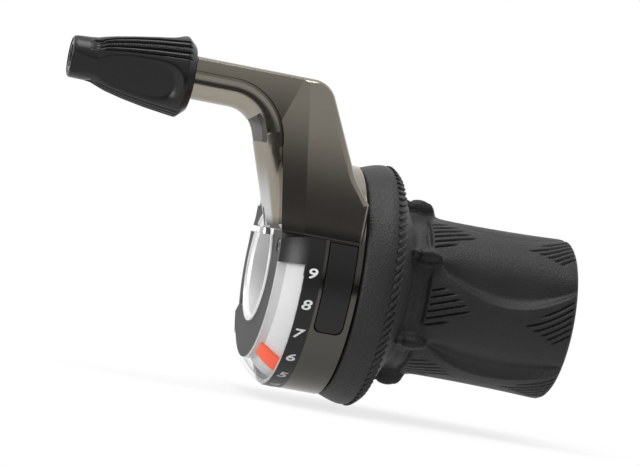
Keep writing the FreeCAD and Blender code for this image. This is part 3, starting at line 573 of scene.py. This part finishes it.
@dataclass
class Grip:
    """Rubber grip with its flange, finger stops, palm hollows and grooves."""

    flange: Profile = (
        (17.5, 24.6), (17.52, 25.2), (17.66, 25.55), (17.95, 25.8), (18.6, 26.05), (19.8, 26.5),
        (21.2, 26.95), (22.4, 27.2), (23.2, 27.25), (24.0, 27.1))
    sleeve: Profile = (
        (24.0, 27.1), (24.7, 26.75), (25.5, 26.05), (26.4, 24.9), (27.4, 23.2), (28.4, 21.3), (29.3, 19.5),
        (30.1, 18.1), (30.8, 17.3), (31.4, 17.1), (32.4, 17.2), (33.2, 17.1), (33.8, 16.85), (34.2, 16.8),
        (34.5, 17.0), (34.8, 17.4), (35.1, 17.64), (35.8, 17.74), (45.0, 17.9), (60.0, 18.22), (66.6, 18.38),
        (67.6, 18.32), (68.3, 18.02), (68.7, 17.5), (68.88, 16.9))
    spacing: Profile = ((31.0, 0.55), (38.0, 0.3), (48.0, 0.45), (56.0, 0.8), (68.88, 0.5))
    bore_r: float = 14.6
    stops: int = 6
    stop_angle: float = 28.0
    stop_x: float = 33.0
    stop_half_length: float = 3.8
    stop_half_angle: float = 5.2
    stop_height: float = 3.7
    stop_root: Span = (26.5, 29.5)
    stop_edge: Span = (0.03, 0.3)
    skirt_height: float = 0.5
    skirt_fall: float = 1.3
    web_r: float = 17.5
    web_x: Span = (30.4, 31.4)
    web_angles: Span = (7.0, 17.0)
    hollow_x: float = 53.0
    hollow_half_length: float = 17.5
    hollow_half_angle: float = 25.0
    hollow_depth: float = 2.1
    hollow_floor: float = -0.55
    hollow_rise: float = 3.0
    hollow_blend: float = 4.0
    hollow_start: Span = (35.2, 39.0)
    hollow_end: Span = (67.4, 68.9)
    groove_half_width: float = 1.2
    groove_core: float = 0.2
    groove_depth: float = 0.62
    groove_clear: Span = (0.5, 2.5)
    near_start: Span = (34.9, 35.6)
    near_angle: float = -22.7
    near_pitch: float = 5.1
    near_climb: float = 1.1
    near_ends: tuple[float, ...] = (39.6, 41.9, 43.2, 44.6, 45.9, 41.2)
    near_fade: float = 2.4
    far_starts: tuple[float, ...] = (59.7, 56.0, 56.9, 58.3, 59.7, 62.4)
    far_angle: float = -5.0
    far_pitch: float = 4.8
    far_follow: float = 1.1
    far_fade: float = 3.0
    columns: int = 810
    flange_columns: int = 360
    ribs: int = 84
    rib_x: float = 25.35
    rib_half_length: float = 2.0
    rib_half_width: float = 0.55
    rib_half_height: float = 0.45
    rib_slant: float = 44.0
    rib_lean: float = -42.0
    rib_rings: int = 10
    rib_sides: int = 8
    rib_proud: float = 0.08

    def room(self, x: np.ndarray) -> np.ndarray:
        """Share of the hollows' full width at places along the grip."""
        along = (x - self.hollow_x) / self.hollow_half_length
        return np.clip(1.0 - along * along, 0.0, None)

    def hollow(self, x: np.ndarray, off: np.ndarray) -> tuple[np.ndarray, np.ndarray]:
        """Depth of the palm hollow, which falls slowly to a floor and climbs a steep lower wall.

        Args:
            x: Places along the grip.
            off: Angles from the hollow's middle.

        Returns:
            The depth, and the distance past the outline in degrees.
        """
        room = self.room(x)
        width = self.hollow_half_angle * np.maximum(room, EDGE)
        across = np.clip(off / width, -1.0, 1.0)
        slope = ((1.0 - across) / (1.0 - self.hollow_floor)) ** self.hollow_rise
        climb = np.clip((self.hollow_floor - across) / (1.0 + self.hollow_floor), 0.0, 1.0)
        wall = 1.0 - climb * climb
        blend = (slope ** self.hollow_blend + wall ** self.hollow_blend + EDGE) ** (1.0 / self.hollow_blend)
        return self.hollow_depth * np.sqrt(room) * slope * wall / blend, np.abs(off) - width

    def groove(self, x: np.ndarray, angle: np.ndarray) -> np.ndarray:
        """Depth of the two fans of fine grooves under each hollow's lower edge.

        Args:
            x: Places along the grip.
            angle: Angles from the middle of the hollow above.

        Returns:
            The depth.
        """
        edge = -self.hollow_half_angle * self.room(x)
        depth = np.zeros_like(x)
        for index, (near, far) in enumerate(zip(self.near_ends, self.far_starts)):
            line = self.near_angle - self.near_pitch * index + self.near_climb * (x - self.near_start[0])
            run = blip(x, *self.near_start) * (1.0 - blip(x, near - self.near_fade, near))
            depth = np.maximum(depth, run * self.line(angle - line))
            line = self.far_angle - self.far_pitch * index + self.far_follow * edge
            run = blip(x, far, far + self.far_fade) * (1.0 - blip(x, *self.hollow_end))
            depth = np.maximum(depth, run * self.line(angle - line))
        return self.groove_depth * depth

    def line(self, distance: np.ndarray) -> np.ndarray:
        """Share of a groove's depth at a distance from its middle, in degrees."""
        return 1.0 - blip(np.abs(distance), self.groove_core * self.groove_half_width, self.groove_half_width)

    def surface(self, x: np.ndarray, angle: np.ndarray) -> tuple[np.ndarray, np.ndarray]:
        """Radius of the sleeve and the share of the finger stops' darker rubber.

        Args:
            x: Places along the grip.
            angle: Dial angles.

        Returns:
            Radius and share.
        """
        pitch = FULL_TURN / self.stops
        off = (angle - self.stop_angle + pitch / 2) % pitch - pitch / 2
        points = np.array(self.sleeve)
        radius = np.interp(x, points[:, 0], points[:, 1])
        web = (1.0 - blip(np.abs(off), *self.web_angles)) * blip(x, *self.web_x)
        radius = radius + web * np.clip(self.web_r - radius, 0.0, None) * (x < self.hollow_x)
        depth, past = self.hollow(x, off)
        ends = blip(x, *self.hollow_start) * (1.0 - blip(x, *self.hollow_end))
        cut = np.maximum(self.groove(x, off), self.groove(x, off - pitch)) * blip(past, *self.groove_clear)
        radius = radius - depth * ends - cut
        reach = ((x - self.stop_x) / self.stop_half_length) ** 2 + (off / self.stop_half_angle) ** 2
        dome = np.sqrt(np.clip(1.0 - reach, 0.0, None))
        skirt = self.skirt_height * np.exp(-np.clip(reach - 1.0, 0.0, None) * self.skirt_fall)
        top = np.where(reach < 1.0, self.skirt_height + (self.stop_height - self.skirt_height) * dome, skirt)
        return radius + top * blip(x, *self.stop_root), blip(dome, *self.stop_edge)

    def places(self) -> np.ndarray:
        """Places of the sleeve's rows, closer where the relief is finer."""
        runs = [np.array(self.sleeve)[:, 0]]
        start = self.sleeve[0][0]
        for end, gap in self.spacing:
            runs.append(np.arange(start, end, gap))
            start = end
        return np.unique(np.concatenate(runs).round(4))

    def skin(self, name: str, x: np.ndarray, radius: np.ndarray, angle: np.ndarray) -> bpy.types.Mesh:
        """Closed skin of rows that end in the bore."""
        inner_x = np.repeat(np.array([[x[-1, 0]], [x[0, 0]]]), x.shape[1], axis=1)
        inner_r = np.full_like(inner_x, self.bore_r)
        inner = around(inner_x, inner_r, angle[:2])
        return ring_mesh(name, np.concatenate([around(x, radius, angle), inner]))

    def build_flange(self, finishes: Finishes) -> bpy.types.Object:
        """Build the smooth band of the flange."""
        points = np.array(self.flange)
        angle = np.arange(self.flange_columns) * FULL_TURN / self.flange_columns
        grid_x, grid_a = np.meshgrid(points[:, 0], angle, indexing="ij")
        radius = np.interp(grid_x, points[:, 0], points[:, 1])
        return shown("grip_flange", self.skin("grip_flange", grid_x, radius, grid_a), finishes.rubber)

    def build_sleeve(self, finishes: Finishes) -> bpy.types.Object:
        """Build the sleeve with its finger stops, hollows and grooves."""
        angle = np.arange(self.columns) * FULL_TURN / self.columns
        grid_x, grid_a = np.meshgrid(self.places(), angle, indexing="ij")
        radius, stop = self.surface(grid_x, grid_a)
        mesh = self.skin("grip_sleeve", grid_x, radius, grid_a)
        shade = mesh.attributes.new("stop", "FLOAT", "POINT")
        values = np.concatenate([stop.ravel(), np.zeros(2 * self.columns)])
        shade.data.foreach_set("value", values.astype(np.float32))
        return shown("grip_sleeve", mesh, finishes.rubber)

    def rib(self) -> bpy.types.Object:
        """One slanted rib of the flange's edge, as a short round-ended bar."""
        rings, sides = self.rib_rings, self.rib_sides
        sizes = (self.rib_half_height, self.rib_half_width)
        rows = []
        for ring in range(1, rings):
            turn = math.pi * ring / rings
            size = math.sin(turn) ** 0.5
            rows.append([(sizes[0] * size * math.cos(side), sizes[1] * size * math.sin(side),
                          -self.rib_half_length * math.cos(turn))
                         for side in np.arange(sides) * 2 * math.pi / sides])
        verts = [point for row in rows for point in row]
        verts += [(0.0, 0.0, -self.rib_half_length), (0.0, 0.0, self.rib_half_length)]
        faces: list[tuple[int, ...]] = []
        last = (rings - 2) * sides
        for side in range(sides):
            after = (side + 1) % sides
            faces += [(row + side, row + after, row + sides + after, row + sides + side)
                      for row in range(0, last, sides)]
            faces += [(after, side, len(verts) - 2), (last + side, last + after, len(verts) - 1)]
        mesh = bpy.data.meshes.new("rib")
        mesh.from_pydata([tuple(value * MM for value in point) for point in verts], [], faces)
        lean = Matrix.Rotation(math.radians(self.rib_lean), 4, "Y")
        mesh.transform(lean @ Matrix.Rotation(math.radians(self.rib_slant), 4, "X"))
        piece = bpy.data.objects.new("rib", mesh)
        bpy.context.scene.collection.objects.link(piece)
        return piece

    def build_ribs(self, finishes: Finishes) -> bpy.types.Object:
        """Repeat the rib round the flange's edge."""
        points = np.array(self.sleeve)
        radius = float(np.interp(self.rib_x, points[:, 0], points[:, 1])) + self.rib_proud
        return RepeatTree("flange_ribs", self.ribs, radius, self.rib_x).build(self.rib(), finishes.rubber)


@dataclass
class Adjuster:
    """Tapered knob of the barrel adjuster, with three sunk panels and ribs between them."""

    y: float = -17.0
    z: float = 37.4
    profile: Profile = (
        (-52.78, 4.0), (-52.72, 4.3), (-52.5, 4.55), (-52.1, 4.7), (-49.0, 4.75), (-47.4, 4.95), (-46.0, 5.5),
        (-44.0, 6.2), (-40.0, 7.15), (-35.0, 8.05), (-30.0, 8.7), (-28.5, 8.88), (-28.1, 8.8), (-26.5, 7.3),
        (-26.25, 6.95))
    bore_r: float = 3.74
    panels: int = 3
    panel_angle: float = -18.0
    panel_start: float = -52.3
    panel_start_r: float = 3.95
    panel_start_angle: float = 60.0
    panel_turn: float = -34.0
    panel_end: float = -28.4
    panel_end_r: float = 7.45
    panel_end_angle: float = 40.0
    panel_wall: Span = (0.62, 1.0)
    rib_angles: tuple[float, ...] = (-11.5, 0.0, 11.5)
    rib_half_angle: float = 4.6
    cluster_half_angle: float = 18.0
    cluster_wall: float = 1.5
    cluster_margin: float = 1.0
    channel_depth: float = 0.8
    channel_start: Span = (-49.4, -46.2)
    channel_end: Span = (-28.4, -27.4)
    rib_start: Span = (-48.2, -45.6)
    tooth_pitch: float = 0.55
    tooth_depth: float = 0.16
    tooth_share: float = 0.6
    tooth_wall: float = 0.8
    fine_step: float = 0.7
    plain_step: float = 1.2
    row_gap: float = 0.13

    def surface(self, x: np.ndarray, angle: np.ndarray) -> np.ndarray:
        """Radius of the knob.

        Args:
            x: Places along the knob.
            angle: Dial angles.

        Returns:
            The radius.
        """
        pitch = FULL_TURN / self.panels
        off = (angle - self.panel_angle + pitch / 2) % pitch - pitch / 2
        between = (angle - self.panel_angle) % pitch - pitch / 2
        points = np.array(self.profile)
        radius = np.interp(x, points[:, 0], points[:, 1])
        ends_x = (self.panel_start, self.panel_end)
        plane = np.interp(x, ends_x, (self.panel_start_r, self.panel_end_r))
        sunk = np.clip(radius - plane / np.cos(np.radians(off)), 0.0, None)
        bend = np.clip((x - self.panel_turn) / (self.panel_end - self.panel_turn), 0.0, 1.0)
        width = np.interp(x, ends_x, (self.panel_start_angle, self.panel_end_angle))
        flat = sunk * (1.0 - blip(np.hypot(bend, off / width), *self.panel_wall))
        rib = np.zeros_like(radius)
        for place in self.rib_angles:
            away = np.abs(between - place) / self.rib_half_angle
            rib = np.maximum(rib, np.sqrt(np.clip(1.0 - away * away, 0.0, None)))
        tips = blip(x, *self.rib_start)
        field = blip(self.cluster_half_angle - np.abs(between), 0.0, self.cluster_wall)
        ends = blip(x, *self.channel_start) * (1.0 - blip(x, *self.channel_end))
        channel = self.channel_depth * field * ends * (1.0 - rib * tips)
        middle = blip(self.rib_half_angle * self.tooth_share - np.abs(between), 0.0, self.tooth_wall)
        teeth = 0.5 - 0.5 * np.cos(2 * math.pi * x / self.tooth_pitch)
        return radius - flat - channel - self.tooth_depth * teeth * middle * tips * ends

    def angles(self) -> np.ndarray:
        """Dial angles of the knob's columns, closer on the ribs than on the panels."""
        pitch = FULL_TURN / self.panels
        half = pitch / 2 - self.cluster_half_angle - self.cluster_margin
        plain = np.arange(-half, half, self.plain_step)
        fine = np.arange(half, pitch - half, self.fine_step)
        one = self.panel_angle + np.concatenate([plain, fine])
        return np.concatenate([one + pitch * index for index in range(self.panels)])

    def build(self, finishes: Finishes) -> bpy.types.Object:
        """Build the knob as one closed skin."""
        places = np.array(self.profile)[:, 0]
        x = np.unique(np.concatenate([np.arange(places[0], places[-1], self.row_gap), places]).round(4))
        grid_x, grid_a = np.meshgrid(x, self.angles(), indexing="ij")
        inner_x = np.repeat(np.array([[x[-1]], [x[0]]]), grid_x.shape[1], axis=1)
        axis = (0.0, self.y, self.z)
        rows = np.concatenate([around(grid_x, self.surface(grid_x, grid_a), grid_a, axis),
                               around(inner_x, np.full_like(inner_x, self.bore_r), grid_a[:2], axis)])
        return shown("knob_sleeve", ring_mesh("knob_sleeve", rows), finishes.knob)


@dataclass
class Dial:
    """White numbers on the dark band of the window."""

    radius: float = 26.0
    x: float = 6.65
    digit_height: float = 2.25
    digit_width: float = 1.4
    shear: float = 0.16
    start_angle: float = 1.75
    pitch: float = 15.3
    first: int = 9
    thickness: float = 0.05
    cap_share: float = 0.72
    swell: float = 0.055
    resolution: int = 5
    inner_r: float = 25.75

    def dress(self, band: bpy.types.Object, finishes: Finishes) -> None:
        """Make the band dark outside and white on the inner side of its lower half.

        Args:
            band: The number band.
            finishes: Every material.
        """
        mesh = band.data
        mesh.materials.clear()
        mesh.materials.append(finishes.black)
        mesh.materials.append(finishes.white)
        for face in mesh.polygons:
            _, y, z = face.center
            face.material_index = int(z < 0 and math.hypot(y, z) < self.inner_r * MM)

    def digit(self, number: int) -> bpy.types.Mesh:
        """One number, flat at the origin.

        Args:
            number: What to write.

        Returns:
            Its mesh, centred, in millimetres.
        """
        curve = bpy.data.curves.new(f"number_{number}", "FONT")
        curve.body = str(number)
        curve.size = self.digit_height / self.cap_share
        curve.shear = self.shear
        curve.offset = self.swell
        curve.resolution_u = self.resolution
        curve.extrude = self.thickness
        holder = bpy.data.objects.new(f"number_{number}", curve)
        bpy.context.scene.collection.objects.link(holder)
        depsgraph = bpy.context.evaluated_depsgraph_get()
        mesh = bpy.data.meshes.new_from_object(holder.evaluated_get(depsgraph))
        bpy.data.objects.remove(holder)
        corners = np.array([v.co for v in mesh.vertices])
        middle = (corners.min(0) + corners.max(0)) / 2
        for vertex in mesh.vertices:
            vertex.co = vertex.co - Vector((middle[0], middle[1], 0.0))
        return mesh

    def build(self, finishes: Finishes) -> list[bpy.types.Object]:
        """Wrap the numbers round the band."""
        pieces = []
        for step in range(self.first):
            number = self.first - step
            mesh = self.digit(number)
            angle = math.radians(self.start_angle - self.pitch * step)
            for vertex in mesh.vertices:
                across, up, out = vertex.co
                turn = angle + up / self.radius
                radius = self.radius + out
                vertex.co = Vector(((self.x + across * self.digit_width) * MM, -radius * math.cos(turn) * MM,
                                    radius * math.sin(turn) * MM))
            pieces.append(shown(f"number_{number}", mesh, finishes.print))
        return pieces


@dataclass
class Housing:
    """Forged housing, with its cut faces and the lip of its bore."""

    face_x: float = 0.3
    face_r: float = 21.9
    chamfer_r: float = 12.4
    bore_r: float = 11.3
    bore_end: float = 8.3
    recess_r: float = 20.6
    recess_end: float = 3.1
    same: float = 0.25
    square_on: float = 0.9
    slanted: float = 0.3
    arm_end: float = -26.0
    corner_y: float = -15.2
    corner_x: float = -3.0
    lip: Profile = ((-0.55, 12.45), (-0.95, 12.45), (-1.05, 12.35), (-1.05, 11.85), (-0.55, 11.75))
    lip_angles: Span = (142.8, 491.0)
    lip_columns: int = 180

    def build_lip(self, finishes: Finishes) -> bpy.types.Object:
        """Build the bright lip round the bore, open at the clamp's slit."""
        points = np.array(self.lip)
        angle = np.linspace(*self.lip_angles, self.lip_columns)
        rows = around(points[:, :1], points[:, 1:], angle[None, :])
        return shown("bore_lip", ring_mesh("bore_lip", rows, whole=False), finishes.bright)

    def dress(self, node: bpy.types.Object, finishes: Finishes) -> None:
        """Give the housing its finishes, face by face.

        Args:
            node: The housing.
            finishes: Every material.
        """
        mesh = node.data
        palette = [finishes.alloy, finishes.machined, finishes.bright, finishes.bore, finishes.white,
                   finishes.pale, finishes.cast]
        mesh.materials.clear()
        for material in palette:
            mesh.materials.append(material)
        for face in mesh.polygons:
            face.material_index = palette.index(self.finish(face, finishes))

    def finish(self, face: bpy.types.MeshPolygon, finishes: Finishes) -> bpy.types.Material:
        """Choose the finish of one face.

        Args:
            face: A face of the housing's mesh.
            finishes: Every material.

        Returns:
            The material.
        """
        x, y, z = (value / MM for value in face.center)
        reach = math.hypot(y, z)
        inboard = -face.normal.x
        if inboard > self.square_on and x < self.arm_end:
            return finishes.pale
        in_corner = x < self.corner_x and abs(y - self.corner_y) < self.same
        if in_corner and abs(face.normal.y) > self.square_on:
            return finishes.cast
        if x < self.face_x and reach < self.chamfer_r and inboard > self.slanted:
            return finishes.bright
        if x < self.face_x and reach < self.face_r and inboard > self.square_on:
            return finishes.machined
        if reach < self.bore_r and x < self.bore_end:
            return finishes.bore
        if abs(reach - self.recess_r) < self.same and x < self.recess_end:
            return finishes.white
        return finishes.alloy


@dataclass(frozen=True)
class Lamp:
    """A soft box that faces the object, in millimetres and watts."""

    name: str
    place: Point
    size: Span
    power: float


@dataclass
class Studio:
    """White studio with the photograph's camera."""

    target: Point = (11.77, 0.0, 9.7)
    distance: float = 700.0
    turn: float = 11.68
    roll: float = 10.6
    focal: float = 175.6
    floor_z: float = -28.5
    floor_size: float = 6000.0
    floor_front: float = -160.0
    sensor: float = 36.0
    near_clip: float = 10.0
    horizon: Span = (-0.04, 0.2)
    sky: Span = (0.075, 0.64)
    side: Span = (-0.5, -0.1)
    side_shade: float = 0.2
    ceiling: Span = (0.35, 0.7)
    cove: Span = (-0.1, 0.25)
    floor_grey: float = 0.9
    bounce_grey: float = 0.5
    floor_rough: float = 0.9
    shadow_span: Span = (40.0, 170.0)
    shadow_share: float = 0.25
    lamps: tuple[Lamp, ...] = (
        Lamp("overhead", (-80.0, -120.0, 610.0), (420.0, 340.0), 2.8),
        Lamp("left", (-620.0, -330.0, 130.0), (300.0, 300.0), 2.8),
    )

    def camera(self) -> bpy.types.Object:
        """Place the camera."""
        phi, roll = math.radians(self.turn), math.radians(self.roll)
        back = Vector((-math.sin(phi), -math.cos(phi), 0.0))
        right = Vector((math.cos(phi), -math.sin(phi), 0.0))
        up = Vector((0.0, 0.0, 1.0))
        across = right * math.cos(roll) + up * math.sin(roll)
        upright = up * math.cos(roll) - right * math.sin(roll)
        lens = bpy.data.cameras.new("camera")
        lens.lens = self.focal
        lens.sensor_width = self.sensor
        lens.clip_start = self.near_clip * MM
        camera = bpy.data.objects.new("camera", lens)
        place = (Vector(self.target) + back * self.distance) * MM
        turned = Matrix((across, upright, back)).transposed().to_4x4()
        camera.matrix_world = Matrix.Translation(place) @ turned
        bpy.context.scene.collection.objects.link(camera)
        bpy.context.scene.camera = camera
        return camera

    def light(self, lamp: Lamp) -> None:
        """Place one lamp.

        Args:
            lamp: What to place.
        """
        source = bpy.data.lights.new(lamp.name, "AREA")
        source.shape = "RECTANGLE"
        source.size, source.size_y = (side * MM for side in lamp.size)
        source.energy = lamp.power
        holder = bpy.data.objects.new(lamp.name, source)
        holder.location = Vector(lamp.place) * MM
        aim = (Vector(self.target) - Vector(lamp.place)).to_track_quat("-Z", "Y")
        holder.rotation_euler = aim.to_euler()
        bpy.context.scene.collection.objects.link(holder)

    def world(self) -> None:
        """White to the camera and behind the object, pale overhead, dim below and to the left."""
        world = bpy.data.worlds.new("studio")
        bpy.context.scene.world = world
        world.use_nodes = True
        nodes = NodeTree(world.node_tree)
        axes = nodes.axes("Generated")
        sky = nodes.ramp(axes["Z"], self.horizon, self.sky)
        side = nodes.ramp(axes["X"], self.side, (self.side_shade, 1.0))
        ceiling = nodes.ramp(axes["Z"], self.ceiling, UNIT)
        room = nodes.maths("MULTIPLY", sky, nodes.maths("MAXIMUM", side, ceiling))
        path = nodes.add("ShaderNodeLightPath").outputs
        cove = nodes.maths("MULTIPLY", path["Is Glossy Ray"], nodes.ramp(axes["Y"], self.cove, UNIT))
        seen = nodes.maths("MAXIMUM", path["Is Camera Ray"], path["Is Transmission Ray"])
        strength = nodes.maths("MAXIMUM", nodes.maths("MAXIMUM", seen, cove), room)
        background = world.node_tree.nodes["Background"].inputs
        background["Color"].default_value = (*grey(1.0), 1.0)
        nodes.join(strength, background["Strength"])

    def floor(self) -> bpy.types.Object:
        """Add a pale floor that is white to the camera and in reflections, with the object's shadow."""
        half = self.floor_size / 2 * MM
        mesh = bpy.data.meshes.new("floor")
        low = self.floor_z * MM
        front = self.floor_front * MM
        mesh.from_pydata([(-half, front, low), (half, front, low), (half, half, low), (-half, half, low)], [],
                         [(0, 1, 2, 3)])
        graph = Graph("pale floor")
        graph.put(Base_Color=grey(self.floor_grey), Roughness=self.floor_rough)
        coords = graph.add("ShaderNodeTexCoord")
        away = graph.add("ShaderNodeVectorMath")
        away.operation = "LENGTH"
        graph.join(coords.outputs["Object"], away.inputs[0])
        fade = graph.ramp(away.outputs["Value"], tuple(end * MM for end in self.shadow_span),
                          (self.shadow_share, 0.0))
        glow = graph.add("ShaderNodeEmission").outputs["Emission"]
        shaded = graph.shader.outputs["BSDF"]
        seen = self.mix(graph, fade, glow, shaded)
        path = graph.add("ShaderNodeLightPath").outputs
        looks = graph.maths("MAXIMUM", path["Is Camera Ray"], path["Is Transmission Ray"])
        looks = graph.maths("MAXIMUM", looks, path["Is Glossy Ray"])
        bounce = graph.add("ShaderNodeBsdfDiffuse")
        bounce.inputs["Color"].default_value = (*grey(self.bounce_grey), 1.0)
        output = graph.tree.nodes["Material Output"]
        graph.join(self.mix(graph, looks, bounce.outputs["BSDF"], seen), output.inputs["Surface"])
        floor = shown("floor", mesh, graph.material)
        return floor

    @staticmethod
    def mix(graph: Graph, share: bpy.types.NodeSocket, first: bpy.types.NodeSocket,
            second: bpy.types.NodeSocket) -> bpy.types.NodeSocket:
        """Mix two shaders.

        Args:
            graph: The material's nodes.
            share: Share of the second shader.
            first: The first shader.
            second: The second shader.

        Returns:
            The mixed shader.
        """
        node = graph.add("ShaderNodeMixShader")
        for source, target in zip((share, first, second), node.inputs):
            graph.join(source, target)
        return node.outputs["Shader"]

    def build(self) -> None:
        """Build the studio."""
        bpy.context.scene.view_settings.view_transform = "Standard"
        self.camera()
        self.world()
        self.floor()
        for lamp in self.lamps:
            self.light(lamp)


@dataclass
class Shifter:
    """The whole object: model nodes with their finishes, and the pieces that replace some of them."""

    nodes: dict[str, bpy.types.Object]
    finishes: Finishes

    def dress_nodes(self) -> None:
        """Give every shown node its finish."""
        look = self.finishes
        table = {
            look.window: ("lens",),
            look.white: ("window_backing", "cable_guide"),
            look.orange: ("indicator_pointer",),
            look.black: ("mandrel", "cable_spool", "grip_core", "cable_hatch"),
            look.steel: ("mandrel_screw_1", "mandrel_screw_2", "mandrel_screw_3", "face_screw_1",
                         "face_screw_2", "thrust_washer", "retaining_clip", "clamp_bolt", "detent_spring",
                         "adjuster_spring"),
            look.barrel: ("adjuster_barrel",),
        }
        for material, names in table.items():
            for name in names:
                mesh = self.nodes[name].data
                mesh.materials.clear()
                mesh.materials.append(material)

    def settle(self, piece: bpy.types.Object, body: Body, slot: Slot, *replaced: str) -> None:
        """Fix a piece to its body.

        Args:
            piece: The piece.
            body: What it moves with.
            slot: The record's slot of its finish. Not used.
            replaced: Nodes that it stands for.
        """
        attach(piece, body.value)
        if replaced:
            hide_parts(*replaced)
        LOG.info("%s: %d faces on %s", piece.name, len(piece.data.polygons), body.value)

    def build(self) -> None:
        """Build and fix every piece."""
        self.dress_nodes()
        housing = Housing()
        housing.dress(self.nodes["housing"], self.finishes)
        self.settle(housing.build_lip(self.finishes), Body.HOUSING, Slot.ALLOY)
        grip = Grip()
        self.settle(grip.build_flange(self.finishes), Body.GRIP, Slot.RUBBER, "grip_rubber")
        self.settle(grip.build_sleeve(self.finishes), Body.GRIP, Slot.RUBBER, "grip_rubber")
        self.settle(grip.build_ribs(self.finishes), Body.GRIP, Slot.RUBBER)
        self.settle(Adjuster().build(self.finishes), Body.KNOB, Slot.KNOB, "adjuster_knob")
        dial = Dial()
        dial.dress(self.nodes["number_band"], self.finishes)
        for number in dial.build(self.finishes):
            self.settle(number, Body.HOUSING, Slot.WHITE)


def main() -> None:
    """Build the studio and the shifter."""
    logging.basicConfig(level=logging.INFO)
    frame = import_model()
    Studio().build()
    Shifter(frame["nodes"], Finishes()).build()


if __name__ == "__main__":
    main()
